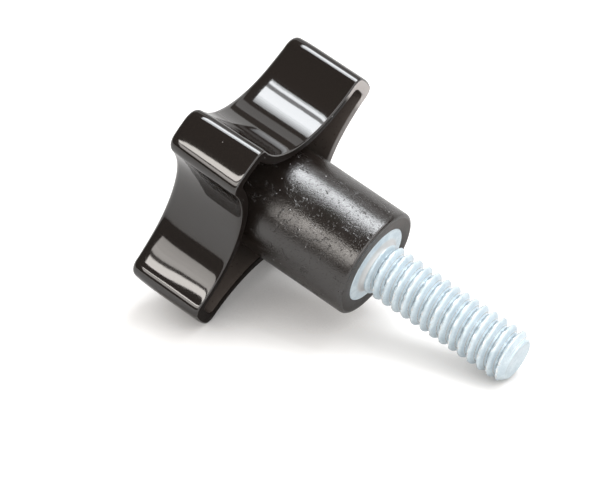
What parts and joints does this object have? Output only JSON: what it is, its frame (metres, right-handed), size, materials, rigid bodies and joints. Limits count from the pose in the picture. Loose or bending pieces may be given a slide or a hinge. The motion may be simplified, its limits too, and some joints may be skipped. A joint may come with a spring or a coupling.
{
  "type": "lobed clamping knob with threaded stud",
  "caption": "Hollow lobed hand knob on a long hub, with a zinc-plated threaded steel stud moulded in, for clamping by hand.",
  "frame": {"origin": "centre of the closed flat top of the head, on the thread's axis; the knob stands on this face", "axes": "+Z along the thread's axis, from the head towards the tip of the stud; one lobe lies on +X"},
  "size_m": [0.032, 0.032, 0.0413],
  "materials": {
    "moulding": "glossy black moulded plastic, satin on the hub",
    "zinc_plate": "bright blue-white zinc plate on rolled steel"
  },
  "bodies": {
    "root": {"knob": "moulding", "stud": "zinc_plate"}
  },
  "joints": []
}
